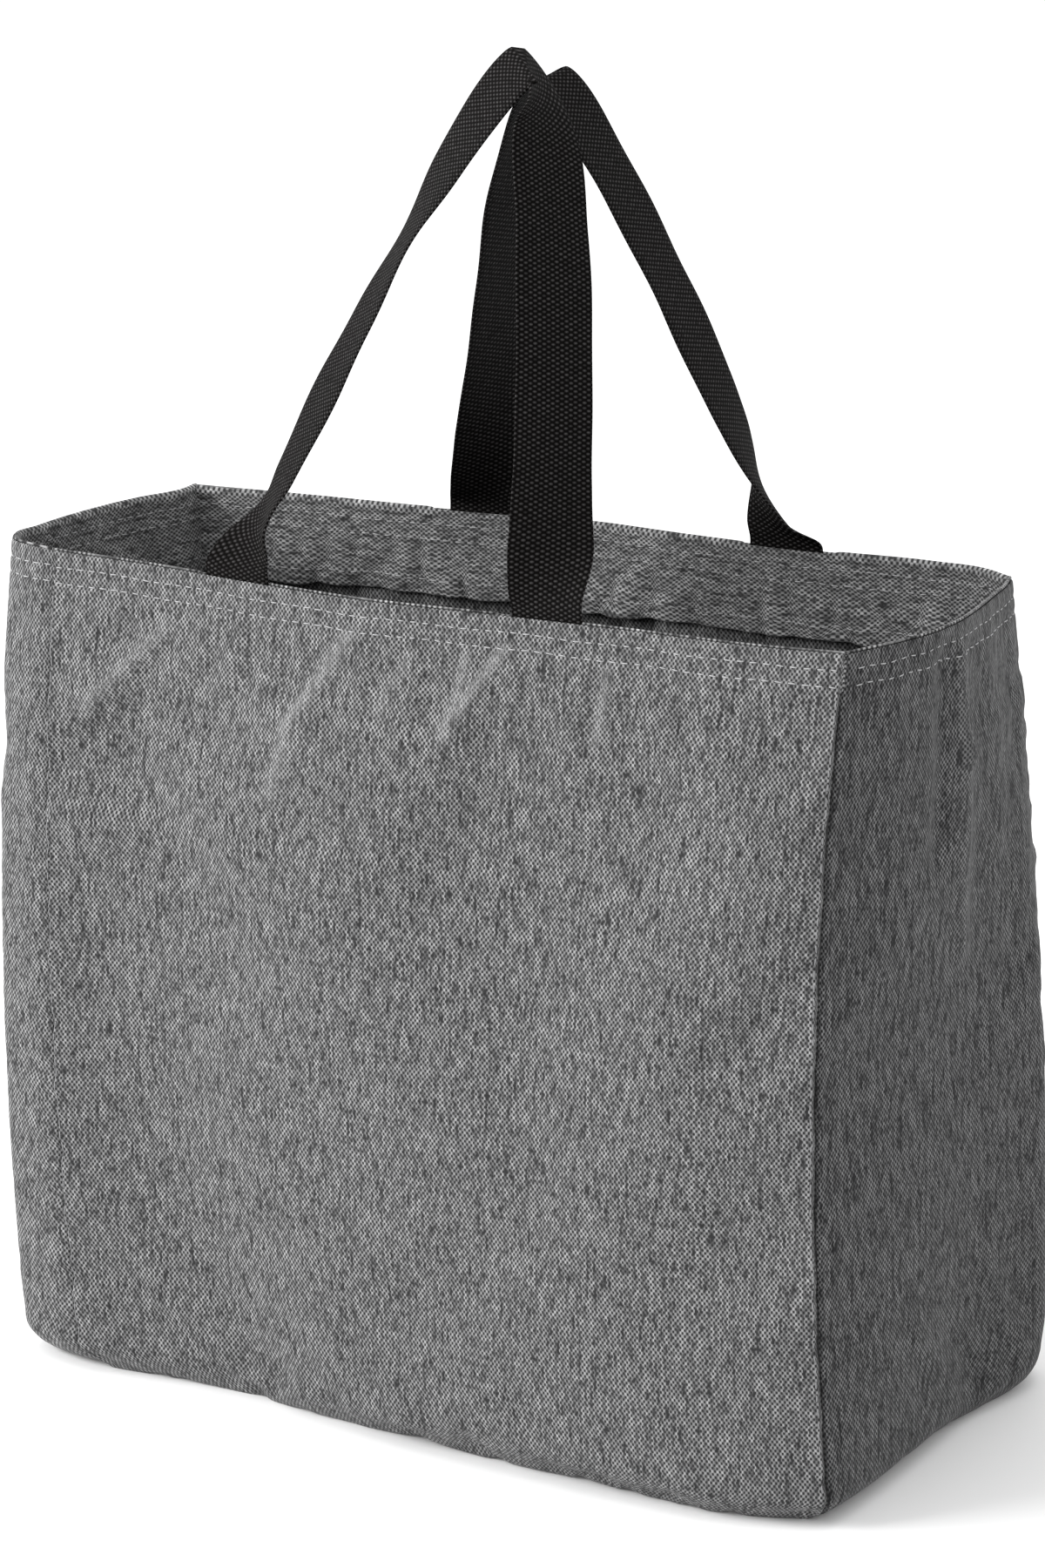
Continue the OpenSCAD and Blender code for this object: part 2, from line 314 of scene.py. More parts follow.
# points of a wall: s from -1 to 1 along it, q metres down the cloth from the rim, depth inward
def wallPoint(wall, s, q, depth=0.0, sag=True, detail=True):
    kind = walls[wall]
    s, q = np.broadcast_arrays(np.asarray(s, float), np.asarray(q, float))
    depth = np.broadcast_to(np.asarray(depth, float), s.shape)
    radius = bag["floorRadius"]
    angle = np.clip((q - bag["wall"]) / radius, 0, math.pi / 2)
    z = np.where(q < bag["wall"], bag["height"] - q, radius * (1 - np.sin(angle)) + depth * np.sin(angle))
    inset = radius * (1 - np.cos(angle)) + depth * np.cos(angle)
    up = np.clip((z - radius) / bag["wall"], 0, 1)
    bow = (curveThrough(kind["rimBow"], s) * up + curveThrough(kind["floorBow"], s) * (1 - up)) * millimetre
    halfRun = halfWidthAt(z) if kind["long"] else halfDepthAt(z)
    if detail:
        crease, _ = creaseField(wall, s * halfRun, z)
        fromEdge = (1 - np.abs(s)) * halfRun
        groove = seam["depth"] * np.exp(-(fromEdge / seam["reach"]) ** 2)
        turn = 2 * math.pi * q / seam["puckerPitch"]
        ripple = seam["pucker"] * (np.sin(turn + 3 * s) + np.sin(turn * 0.37 + 5 * s) + np.sin(turn * 1.7))
        groove = groove + ripple * np.exp(-(fromEdge / seam["puckerReach"]) ** 2) * smoothStep(
            seam["puckerFrom"], seam["puckerFull"], q)
        rows = sum(np.exp(-((q - d) / stitch["dimpleReach"]) ** 2) for d in bag["rowDrops"])
        between = np.cos(2 * math.pi * s * halfRun / stitch["pitch"])
        dimple = stitch["dimple"] * rows * (1.2 - 0.5 * between)
        inset = inset + groove + dimple - crease * smoothStep(0, 0.02, fromEdge)
    if kind["long"]:
        x, y = s * (halfWidthAt(z) - inset), -(halfDepthAt(z) - inset) - bow
    else:
        x, y = halfWidthAt(z) - inset + bow, s * (halfDepthAt(z) - inset)
    point = np.stack([x, y, z], axis=-1)
    if kind["turned"]:
        point = point * np.array([-1, -1, 1])
    point = leanOf(point, up)
    if sag and wall in sagGrid:
        grid = sagGrid[wall]
        point = point + sampleGrid(grid, q / bag["cut"] * (grid.shape[0] - 1),
                                   (s + 1) / 2 * (grid.shape[1] - 1))
    point[..., 2] = np.maximum(point[..., 2], depth * np.sin(angle))      # nothing sinks into the floor
    return point


def newPiece(name, points, faces):
    mesh = bpy.data.meshes.new(name)
    mesh.from_pydata(points.tolist(), [], faces)
    piece = bpy.data.objects.new(name, mesh)
    bpy.context.collection.objects.link(piece)
    return piece


# cloth simulation of the standing bag
drape = {
    "spacing": 0.0055, "frames": 26, "grow": 0.012, "pressure": 0.08,
    "stretch": 25.0, "shearShare": 0.5, "bend": 3.0, "mass": 0.35, "quality": 7, "pin": 1.2,
    "rimHold": 0.25, "rimFadeLow": 0.030, "rimFadeHigh": 0.006, "cornerHold": 0.35,
    "most": 0.0050, "narrowShare": 0.4,
}


# fills the space between four edges that share their corners
def fillBetween(front, back, left, right):
    u = np.linspace(0, 1, len(front))[None, :, None]
    v = np.linspace(0, 1, len(left))[:, None, None]
    corners = ((1 - u) * (1 - v) * front[0] + u * (1 - v) * front[-1]
               + (1 - u) * v * back[0] + u * v * back[-1])
    across = (1 - u) * left[:, None] + u * right[:, None]
    return (1 - v) * front[None] + v * back[None] + across - corners


# the four walls and the floor as one closed grid; edges that meet share their points
def sewTub():
    rows = int(bag["cut"] / drape["spacing"]) + 1
    longCols = int(2 * bag["rimHalfWidth"] / drape["spacing"]) + 1
    shortCols = int(2 * bag["baseHalfDepth"] / drape["spacing"]) + 1
    points, lookup, faces, index = [], {}, [], {}

    def keep(place):
        key = tuple(int(round(c * 1e5)) for c in place)
        if key not in lookup:
            lookup[key] = len(points)
            points.append(place)
        return lookup[key]

    def weave(name, grid):
        n = [[keep(place) for place in line] for line in grid]
        index[name] = np.array(n)
        for i in range(len(n) - 1):
            for j in range(len(n[0]) - 1):
                faces.append((n[i][j], n[i + 1][j], n[i + 1][j + 1], n[i][j + 1]))

    drop = np.linspace(0, bag["cut"], rows)
    for wall, kind in walls.items():
        along = np.linspace(-1, 1, longCols if kind["long"] else shortCols)
        weave(wall, wallPoint(wall, along[None, :], drop[:, None], detail=False))
    front = wallPoint("front", np.linspace(-1, 1, longCols), bag["cut"], detail=False)
    back = wallPoint("back", np.linspace(1, -1, longCols), bag["cut"], detail=False)
    right = wallPoint("right", np.linspace(-1, 1, shortCols), bag["cut"], detail=False)
    left = wallPoint("left", np.linspace(1, -1, shortCols), bag["cut"], detail=False)
    weave("bottom", fillBetween(front, back, left, right)[::-1])
    return np.array(points), faces, index


# held firmly at the rim and the floor, lightly at the facing and the corner seams
def holdTub(trial, rest, index):
    hold = trial.vertex_groups.new(name="sewn")
    hemHeight = bag["height"] - bag["facingDepth"]
    for i, place in enumerate(rest):
        weight = 0.0
        if place[2] > hemHeight:
            fade = smoothStep(bag["height"] - drape["rimFadeLow"],
                              bag["height"] - drape["rimFadeHigh"], place[2])
            weight = drape["rimHold"] + (1 - drape["rimHold"]) * fade
        if place[2] < bag["clothThick"]:
            weight = 1.0
        hold.add([i], float(weight), "REPLACE")
    for wall in walls:
        for i in (*index[wall][:, 0], *index[wall][:, -1]):
            if bag["clothThick"] < rest[i][2] < hemHeight:
                hold.add([int(i)], drape["cornerHold"], "REPLACE")


# the five panels sewn together, a little looser than their frame, settle into soft buckles
def drapeBag():
    rest, faces, index = sewTub()
    trial = newPiece("drapeTrial", rest, faces)
    mesh = trial.data
    holdTub(trial, rest, index)
    cloth = trial.modifiers.new("canvas", "CLOTH")
    setup = cloth.settings
    setup.quality = drape["quality"]
    setup.mass = drape["mass"]
    setup.tension_stiffness = drape["stretch"]
    setup.compression_stiffness = drape["stretch"]
    setup.shear_stiffness = drape["stretch"] * drape["shearShare"]
    setup.bending_stiffness = drape["bend"]
    setup.vertex_group_mass = "sewn"
    setup.pin_stiffness = drape["pin"]
    setup.shrink_min = -drape["grow"]
    setup.use_pressure = True
    setup.uniform_pressure_force = drape["pressure"]
    setup.effector_weights.gravity = 0.0
    cloth.collision_settings.use_collision = False
    scene = bpy.context.scene
    cloth.point_cache.frame_start, cloth.point_cache.frame_end = 1, drape["frames"]
    for f in range(1, drape["frames"] + 1):
        scene.frame_set(f)
    settled = trial.evaluated_get(bpy.context.evaluated_depsgraph_get())
    now = np.array([v.co for v in settled.data.vertices], float)
    scene.frame_set(1)
    move = now - rest
    far = np.linalg.norm(move, axis=1)
    print("drape moved up to %.1f mm, mean %.2f mm" % (far.max() * 1000, far.mean() * 1000))
    move *= (drape["most"] * np.tanh(far / drape["most"]) / np.maximum(far, 1e-9))[:, None]
    for wall in walls:
        sagGrid[wall] = bucklesOnly(move[index[wall]], walls[wall]["long"])
    bpy.data.objects.remove(trial)
    bpy.data.meshes.remove(mesh)


# the corner seams stay where they are sewn, and the wall's own bow already holds the broad swell
def bucklesOnly(grid, isLong):
    share = np.linspace(0, 1, grid.shape[1])[None, :, None]
    grid = grid - grid[:, :1] * (1 - share) - grid[:, -1:] * share
    swell = np.outer(*[np.sin(np.linspace(0, math.pi, n)) for n in grid.shape[:2]])[..., None]
    buckles = grid - swell * (grid * swell).sum(axis=(0, 1)) / (swell * swell).sum()
    return buckles if isLong else buckles * drape["narrowShare"]


drapeBag()
print("cloth settled")


# finishes
def newFinish(name):
    material = bpy.data.materials.new(name)
    material.use_nodes = True
    return material, material.node_tree, material.node_tree.nodes["Principled BSDF"]


def link(tree, value, socket):
    if isinstance(value, (int, float)):
        socket.default_value = value
    else:
        tree.links.new(value, socket)


def sums(tree, operation, a, b=0.0, c=None):
    node = tree.nodes.new("ShaderNodeMath")
    node.operation = operation
    link(tree, a, node.inputs[0])
    link(tree, b, node.inputs[1])
    if c is not None:
        link(tree, c, node.inputs[2])
    return node.outputs[0]


def times(tree, a, b):
    return sums(tree, "MULTIPLY", a, b)


def timesPlus(tree, a, b, c):
    return sums(tree, "MULTIPLY_ADD", a, b, c)


def join(tree, x, y, z=0.0):
    node = tree.nodes.new("ShaderNodeCombineXYZ")
    for value, socket in zip((x, y, z), node.inputs):
        link(tree, value, socket)
    return node.outputs[0]


def cloud(tree, vector, scale, detail=2.0):
    node = tree.nodes.new("ShaderNodeTexNoise")
    node.inputs["Scale"].default_value = scale
    node.inputs["Detail"].default_value = detail
    node.inputs["Roughness"].default_value = 0.5
    tree.links.new(vector, node.inputs["Vector"])
    return node.outputs["Fac"]


def blendColours(tree, factor, low, high, kind="MIX"):
    node = tree.nodes.new("ShaderNodeMix")
    node.data_type = "RGBA"
    node.blend_type = kind
    link(tree, factor, node.inputs[0])
    for value, socket in ((low, node.inputs[6]), (high, node.inputs[7])):
        if isinstance(value, tuple):
            socket.default_value = (*value, 1)
        else:
            tree.links.new(value, socket)
    return node.outputs[2]


def raiseBump(tree, shader, height, power, deep):
    bump = tree.nodes.new("ShaderNodeBump")
    bump.inputs["Strength"].default_value = power
    bump.inputs["Distance"].default_value = deep
    tree.links.new(height, bump.inputs["Height"])
    tree.links.new(bump.outputs["Normal"], shader.inputs["Normal"])


# metres along and up the cut piece, from its own map
def clothPlaces(tree):
    node = tree.nodes.new("ShaderNodeUVMap")
    node.uv_map = "clothMap"
    split = tree.nodes.new("ShaderNodeSeparateXYZ")
    tree.links.new(node.outputs["UV"], split.inputs[0])
    return split.outputs["X"], split.outputs["Y"]


canvas = {
    "warpPitch": 0.00087, "weftPitch": 0.00108, "crisp": 1.0,
    "wander": 2.0, "wanderScale": 30.0,     # yarns drift off straight
    "slubLong": 0.0055, "slubPower": 2.1, "slubSeed": 17.31,
    "speckAcross": 0.6, "speckUp": 0.6, "speckPower": 0.9, "speckSeed": 7.0,
    "patchWide": 0.0013, "patchLong": 0.018, "patchPower": 1.0,
    "weftLow": 0.25, "weftHigh": 1.3, "weftLong": 0.004, "weftSeed": 11.7,
    # groove sets the painted shade in the gaps between yarns
    "groove": 0.1, "wearAndHighlightBase": 0.10,
    "rough": 0.95, "slubShine": -0.2, "specular": 0.18, "sheen": 0.08, "sheenRough": 0.5,
    "bumpPower": 0.12, "bumpDeep": 0.0002, "beadHigh": 0.8, "overHigh": 0.25,
}


# a swing either side of nothing, from noise between 0 and 1
def centred(tree, value, power):
    return times(tree, sums(tree, "SUBTRACT", value, 0.5), power)


# plain weave of melange yarn: pale warp over a darker weft, with slubs along the warp
def canvasFinish(name, dark, light, sideways=False, streak=1.0):
    material, tree, shader = newFinish(name)
    u, v = clothPlaces(tree)
    if sideways:
        u, v = v, u
    drift = cloud(tree, join(tree, u, v), canvas["wanderScale"], 1.0)
    warp = timesPlus(tree, u, 1 / canvas["warpPitch"], times(tree, drift, canvas["wander"]))
    weft = times(tree, v, 1 / canvas["weftPitch"])
    warpNo, weftNo = sums(tree, "FLOOR", warp), sums(tree, "FLOOR", weft)
    wave = times(tree, sums(tree, "COSINE", times(tree, warp, math.pi)),
                 sums(tree, "COSINE", times(tree, weft, math.pi)))
    over = timesPlus(tree, wave, canvas["crisp"], 0.5)
    roundWarp = sums(tree, "SINE", times(tree, sums(tree, "FRACT", warp), math.pi))
    roundWeft = sums(tree, "SINE", times(tree, sums(tree, "FRACT", weft), math.pi))
    bead = times(tree, roundWarp, timesPlus(tree, roundWeft, 0.5, 0.5))
    slub = cloud(tree, join(tree, times(tree, warpNo, canvas["slubSeed"]),
                            times(tree, v, 1 / canvas["slubLong"])), 1.0)
    patch = cloud(tree, join(tree, times(tree, u, 1 / (canvas["patchWide"] * streak)),
                             times(tree, v, 1 / canvas["patchLong"])), 1.0)
    weftTone = cloud(tree, join(tree, times(tree, u, 1 / canvas["weftLong"]),
                                times(tree, weftNo, canvas["weftSeed"])), 1.0)
    speck = cloud(tree, join(tree, times(tree, warp, canvas["speckAcross"]),
                             times(tree, weft, canvas["speckUp"]), canvas["speckSeed"]), 1.0, 0.0)
    tone = sums(tree, "ADD", 0.5, centred(tree, slub, canvas["slubPower"]))
    tone = sums(tree, "ADD", tone, centred(tree, speck, canvas["speckPower"]))
    tone = sums(tree, "ADD", tone, centred(tree, patch, canvas["patchPower"] * streak))
    warpColour = blendColours(tree, tone, dark, light)
    weftLow = tuple(c * canvas["weftLow"] for c in dark)
    weftHigh = tuple(c * canvas["weftHigh"] for c in dark)
    weftColour = blendColours(tree, weftTone, weftLow, weftHigh)
    colour = blendColours(tree, over, weftColour, warpColour)
    # painted shade in the gaps between the yarns darkens the colour
    yarnGapShade = timesPlus(tree, bead, canvas["groove"], 1 - canvas["groove"])
    colour = blendColours(tree, 1.0, colour, join(tree, yarnGapShade, yarnGapShade, yarnGapShade), "MULTIPLY")
    # crease ridges are painted lighter: partly wear, partly a painted highlight where the ridges catch the
    # light
    wearAndHighlight = tree.nodes.new("ShaderNodeAttribute")
    wearAndHighlight.attribute_name = "wearAndHighlight"
    wearAndHighlightShare = timesPlus(tree, bead, 0.5, canvas["wearAndHighlightBase"])
    colour = blendColours(tree, times(tree, wearAndHighlight.outputs["Fac"], wearAndHighlightShare), colour, light)
    tree.links.new(colour, shader.inputs["Base Color"])
    rough = timesPlus(tree, slub, canvas["slubShine"], canvas["rough"])
    tree.links.new(rough, shader.inputs["Roughness"])
    shader.inputs["Sheen Weight"].default_value = canvas["sheen"]
    shader.inputs["Sheen Roughness"].default_value = canvas["sheenRough"]
    shader.inputs["Specular IOR Level"].default_value = canvas["specular"]
    height = timesPlus(tree, bead, canvas["beadHigh"], times(tree, over, canvas["overHigh"]))
    raiseBump(tree, shader, height, canvas["bumpPower"], canvas["bumpDeep"])
    return material


web = {
    "width": 0.032, "tail": 0.028, "step": 0.0011, "crossPoints": 29,
    # pale is the colour of the dots' painted glints
    "dark": (0.0018, 0.0015, 0.0013), "pale": (0.070, 0.067, 0.067),
    "pitch": 0.0019, "glintPower": 2.0, "dotAcross": 9.0, "dotAlong": 30.0,     # woven dots
    "boundEdge": 0.0012, "ribPitch": 0.0011, "ribHigh": 0.4,
    "fibreAcross": 2600.0, "fibreAlong": 1500.0, "fibreHigh": 0.25, "threadHigh": 0.06,
    "rough": 0.55, "fibreRough": 0.3, "specular": 0.03, "bumpPower": 0.9, "bumpDeep": 0.00055,
}


# black woven webbing: staggered dots in ribbed rows, with bound edges; the dots are painted pale as painted
# glints
def webbingFinish():
    material, tree, shader = newFinish("blackWebbing")
    u, v = clothPlaces(tree)
    col = times(tree, u, 1 / web["pitch"])
    colNo = sums(tree, "FLOOR", col)
    stagger = times(tree, sums(tree, "MODULO", sums(tree, "ABSOLUTE", colNo), 2.0), 0.5)
    row = timesPlus(tree, v, 1 / web["pitch"], stagger)
    colPlace = sums(tree, "SUBTRACT", sums(tree, "FRACT", col), 0.5)
    rowPlace = sums(tree, "SUBTRACT", sums(tree, "FRACT", row), 0.5)
    fall = sums(tree, "ADD", times(tree, times(tree, colPlace, colPlace), web["dotAcross"]),
                times(tree, times(tree, rowPlace, rowPlace), web["dotAlong"]))
    dot = sums(tree, "EXPONENT", times(tree, fall, -1.0))
    threads = sums(tree, "SINE", times(tree, v, 8 * math.pi / web["pitch"]))
    fibre = cloud(tree, join(tree, times(tree, u, web["fibreAcross"]),
                             times(tree, v, web["fibreAlong"])), 1.0)
    varied = cloud(tree, join(tree, colNo, sums(tree, "FLOOR", row)), 0.9, 1.0)
    edge = sums(tree, "GREATER_THAN", sums(tree, "ABSOLUTE", u), web["width"] / 2 - web["boundEdge"])
    ribs = sums(tree, "SINE", times(tree, v, 2 * math.pi / web["ribPitch"]))
    # the dots are painted pale: painted glints where light catches the weave
    paintedGlint = times(tree, dot, times(tree, varied, web["glintPower"]))
    tree.links.new(blendColours(tree, paintedGlint, web["dark"], web["pale"]), shader.inputs["Base Color"])
    rough = timesPlus(tree, fibre, web["fibreRough"], web["rough"])
    tree.links.new(rough, shader.inputs["Roughness"])
    shader.inputs["Specular IOR Level"].default_value = web["specular"]
    height = timesPlus(tree, threads, web["threadHigh"], dot)
    height = timesPlus(tree, fibre, web["fibreHigh"], height)
    height = timesPlus(tree, times(tree, edge, ribs), web["ribHigh"], height)
    raiseBump(tree, shader, height, web["bumpPower"], web["bumpDeep"])
    return material


thread = {
    "fibreScale": 900.0, "darkShare": 0.72, "paleShare": 1.22,
    "rough": 0.55, "bumpPower": 0.6, "bumpDeep": 0.0001,
}


# twisted polyester sewing thread
def threadFinish(name, tone):
    material, tree, shader = newFinish(name)
    places = tree.nodes.new("ShaderNodeTexCoord")
    fibre = cloud(tree, places.outputs["Object"], thread["fibreScale"], 3.0)
    dark = tuple(c * thread["darkShare"] for c in tone)
    pale = tuple(c * thread["paleShare"] for c in tone)
    tree.links.new(blendColours(tree, fibre, dark, pale), shader.inputs["Base Color"])
    shader.inputs["Roughness"].default_value = thread["rough"]
    raiseBump(tree, shader, fibre, thread["bumpPower"], thread["bumpDeep"])
    return material


panelFinish = canvasFinish("heatherPanel", (0.028, 0.028, 0.029), (0.398, 0.398, 0.400))
# the right gusset's finish is darker than the panels: painted shade on the side turned away from the key lamp
shadedGussetFinish = canvasFinish("heatherGussetPaintedShade", (0.012, 0.012, 0.013), (0.222, 0.222, 0.224), streak=1.6)
# the facing's finish is paler than the panels: painted light that lifts the shaded inside of the bag
litFacingFinish = canvasFinish("heatherFacingPaintedLight", (0.042, 0.042, 0.043), (0.545, 0.545, 0.547), True)
webFinish = webbingFinish()
paleThread = threadFinish("paleThread", (0.37, 0.37, 0.375))
greyThread = threadFinish("greyThread", (0.22, 0.22, 0.225))
print("finishes made")


# sheets of cloth
def keepAboveFloor(mesh):
    flat = np.zeros(len(mesh.vertices) * 3, np.float32)
    mesh.vertices.foreach_get("co", flat)
    flat[2::3] = np.maximum(flat[2::3], 0)
    mesh.vertices.foreach_set("co", flat)
    mesh.update()


# a flat grid laid onto rows of places and given the cloth's thickness, with its map in metres
def layGrid(name, places, map2d, material, wearAndHighlight=None):
    rows, cols = places.shape[:2]
    bpy.ops.object.select_all(action="DESELECT")
    bpy.ops.mesh.primitive_grid_add(x_subdivisions=cols - 1, y_subdivisions=rows - 1, size=1)
    piece = bpy.context.object
    piece.name = piece.data.name = name
    mesh = piece.data
    mesh.vertices.foreach_set("co", places.reshape(-1, 3).astype(np.float32).ravel())
    vertexOf = np.zeros(len(mesh.loops), int)
    mesh.loops.foreach_get("vertex_index", vertexOf)
    layer = mesh.uv_layers[0]
    layer.name = "clothMap"
    layer.data.foreach_set("uv", map2d.reshape(-1, 2)[vertexOf].astype(np.float32).ravel())
    if wearAndHighlight is not None:
        layer = mesh.attributes.new("wearAndHighlight", "FLOAT", "POINT")
        layer.data.foreach_set("value", wearAndHighlight.astype(np.float32).ravel())
    mesh.update()
    mesh.materials.append(material)
    body = piece.modifiers.new("thickness", "SOLIDIFY")
    body.thickness, body.offset, body.use_even_offset = bag["clothThick"], -1.0, False
    bpy.ops.object.modifier_apply(modifier=body.name)
    keepAboveFloor(mesh)
    bpy.ops.object.shade_smooth()
    return piece


# distances from 0 to total, fine near both ends and coarse between
def spacedEdges(total, fine, coarse, reach):
    edge = np.arange(0, reach, fine)
    middle = np.linspace(reach, total - reach, max(2, int((total - 2 * reach) / coarse)))
    return np.concatenate([edge, middle, total - edge[::-1]])


panel = {
    "fineCols": 0.0006, "cols": 0.0021, "fineReach": 0.0054,
    "rimRoll": 0.0003, "rollReach": 0.0004,       # the folded edge rolls in
    "mapLevel": 0.15,                             # drop at which the weave is measured out
    "mapShift": {"front": 0.0, "right": 0.5, "back": 1.0, "left": 1.5},
}


# distances down from the rim: close over the stitching, then the wall, then the curve under
def panelRows():
    fine = np.concatenate([[0.0, 0.0003], np.arange(0.0008, 0.0165, 0.0007)])
    wall = np.linspace(0.0172, bag["wall"] - 0.012, 96)
    under = np.linspace(bag["wall"] - 0.010, bag["cut"], 16)
    return np.concatenate([fine, wall, under])


def makeWall(node, wall, material):
    kind = walls[wall]
    run = 2 * rimHalf(wall)
    s = spacedEdges(run, panel["fineCols"], panel["cols"], panel["fineReach"]) / run * 2 - 1
    q = panelRows()[::-1]
    ss, qq = np.meshgrid(s, q)
    places = wallPoint(wall, ss, qq)
    roll = np.exp(-qq / panel["rollReach"]) * panel["rimRoll"]
    places = places + roll[..., None] * inwardOf(wall, ss, qq)
    z = bag["height"] - np.minimum(qq, bag["wall"])
    halfRun = halfWidthAt(z) if kind["long"] else halfDepthAt(z)
    _, wearAndHighlight = creaseField(wall, ss * halfRun, z)
    run = runAlong(wallPoint(wall, s, panel["mapLevel"], sag=False))
    run = run - run[-1] / 2 + panel["mapShift"][wall]
    map2d = np.stack([np.broadcast_to(run, ss.shape), -qq + 1.0], axis=-1)
    piece = layGrid(node + "_cloth", places, map2d, material, wearAndHighlight)
    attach(piece, "bag")
    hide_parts(node)


# unit vectors pointing into the bag, square to the cloth
def inwardOf(wall, s, q):
    ds, dq = 0.004, 0.0006
    a = wallPoint(wall, s + ds, q, detail=False) - wallPoint(wall, s - ds, q, detail=False)
    b = wallPoint(wall, s, q + dq, detail=False) - wallPoint(wall, s, q - dq, detail=False)
    n = np.cross(a, b)
    return n / np.linalg.norm(n, axis=-1, keepdims=True)


makeWall("front_panel", "front", panelFinish)
makeWall("back_panel", "back", panelFinish)
makeWall("right_gusset", "right", shadedGussetFinish)
makeWall("left_gusset", "left", panelFinish)
print("walls laid")


bottom = {
    "cols": 110, "rows": 60, "lift": 0.0008,
    "ripple": 0.0007, "rippleAcross": 9, "rippleDeep": 5,
}


def makeBottom():
    across, deep = np.linspace(-1, 1, bottom["cols"]), np.linspace(-1, 1, bottom["rows"])
    front = wallPoint("front", across, bag["cut"])
    back = wallPoint("back", -across, bag["cut"])
    right = wallPoint("right", deep, bag["cut"])
    left = wallPoint("left", -deep, bag["cut"])
    places = fillBetween(front, back, left, right)
    uu, vv = np.meshgrid(across, deep)
    wave = np.sin(uu * bottom["rippleAcross"] + 2) * np.sin(vv * bottom["rippleDeep"] + 1)
    flatEdges = (1 - uu**8) * (1 - vv**8)
    places[..., 2] = (bottom["ripple"] * wave + bottom["lift"]) * flatEdges
    map2d = np.stack([places[..., 0] + 2.0, places[..., 1]], axis=-1)
    piece = layGrid("bottom_cloth", places[::-1], map2d[::-1], panelFinish)
    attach(piece, "bag")
    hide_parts("bottom_panel")


makeBottom()
print("bottom laid")

# the two handles: ends, loop and where its top leans, as distances in metres
handles = {
    "front": {
        "middle": -0.015, "span": 0.127, "shift": -0.0038, "rise": 0.1875, "meetX": 0.009,
        "meet": 0.017, "tilt": 0.24, "fold": 1.0, "swing": "front_handle", "ends": "front_handle_ends",
    },
    "back": {
        "middle": 0.012, "span": 0.1255, "shift": 0.0022, "rise": 0.178, "meetX": 0.002,
        "meet": 0.014, "tilt": 0.0, "fold": 0.0, "swing": "back_handle", "ends": "back_handle_ends",
    },
}
# facing turned inside the rim
facing = {
    "cols": 0.0016, "rows": 44, "endLong": 0.9985, "endShort": 0.997,
    "lip": [(0.0000, 0.0011), (0.00005, 0.0015), (0.0003, 0.0020), (0.0008, 0.00245), (0.0016, 0.0027)],
    "lipIn": 0.0002, "firstRow": 0.0026, "strapFrom": 0.0003, "strapFade": 0.0035,
    "waveHigh": 0.0016, "waveFrom": 0.012, "dimple": 0.00018, "dimpleReach": 0.001,
    "wavePhase": {"front": 0.4, "right": 2.0, "back": 1.1, "left": 3.0},
    "mapShift": {"front": 0.0, "right": 0.9, "back": 1.7, "left": 2.5},
}


# 1 where webbing comes out between panel and facing, 0 elsewhere
def strapShare(wall, s):
    if wall not in handles:
        return np.zeros_like(s)
    side = handles[wall]
    x = s * bag["rimHalfWidth"] * (-1 if walls[wall]["turned"] else 1)
    out = np.zeros_like(s)
    for end in (-1, 1):
        gap = np.abs(x - side["middle"] - side["shift"] - end * side["span"] / 2)
        out = np.maximum(out, 1 - smoothStep(web["width"] / 2 + facing["strapFrom"],
                                             web["width"] / 2 + facing["strapFade"], gap))
    return out


# inward distance of the facing's outer side from the wall's outer side
def facingDepth(wall, s, q):
    phase = facing["wavePhase"][wall]
    low = smoothStep(facing["waveFrom"], bag["facingDepth"], q)
    wave = facing["waveHigh"] * (1.1 + np.sin(7.3 * s + phase) + 0.6 * np.sin(15.1 * s + 2 * phase))
    return bag["clothThick"] + bag["webThick"] + low * wave


def makeFacing(node, wall):
    kind = walls[wall]
    run = 2 * rimHalf(wall)
    s = np.linspace(-1, 1, int(run / facing["cols"])) * facing["endLong" if kind["long"] else "endShort"]
    hanging = np.linspace(facing["firstRow"], bag["facingDepth"], facing["rows"])
    q = np.concatenate([[a for a, b in facing["lip"]], hanging])
    depth = np.array([b for a, b in facing["lip"]] + [0.0] * facing["rows"])
    ss, qq = np.meshgrid(s, q)
    lipDepth = np.repeat(depth[:, None], len(s), axis=1) - facing["lipIn"]
    body = facingDepth(wall, ss, qq)
    body = body + facing["dimple"] * sum(np.exp(-((qq - d) / facing["dimpleReach"]) ** 2)
                                         for d in (*bag["rowDrops"], bag["hemDrop"]))
    parted = strapShare(wall, ss)
    lipRows = (np.arange(len(q)) < len(facing["lip"]))[:, None]
    inset = np.where(lipRows, lipDepth * (1 - parted) + np.maximum(lipDepth, body) * parted, body)
    inward = inwardOf(wall, ss, np.maximum(qq, 0.001))
    places = wallPoint(wall, ss, qq, detail=False) + inset[..., None] * inward
    map2d = np.stack([ss * rimHalf(wall) + facing["mapShift"][wall], -qq + 3.0], axis=-1)
    piece = layGrid(node + "_cloth", places[::-1], map2d[::-1], litFacingFinish)
    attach(piece, "bag")
    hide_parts(node)


makeFacing("front_facing", "front")
makeFacing("back_facing", "back")
makeFacing("right_facing", "right")
makeFacing("left_facing", "left")
print("facings laid")


# one stitch lying along X, one unit long: a low bead whose ends dip into the cloth
beadShape = {
    "sides": 6, "stops": (-0.5, -0.36, -0.12, 0.12, 0.36, 0.5),
    "endThick": 0.15, "dip": 1.5, "sunk": 0.15,
}


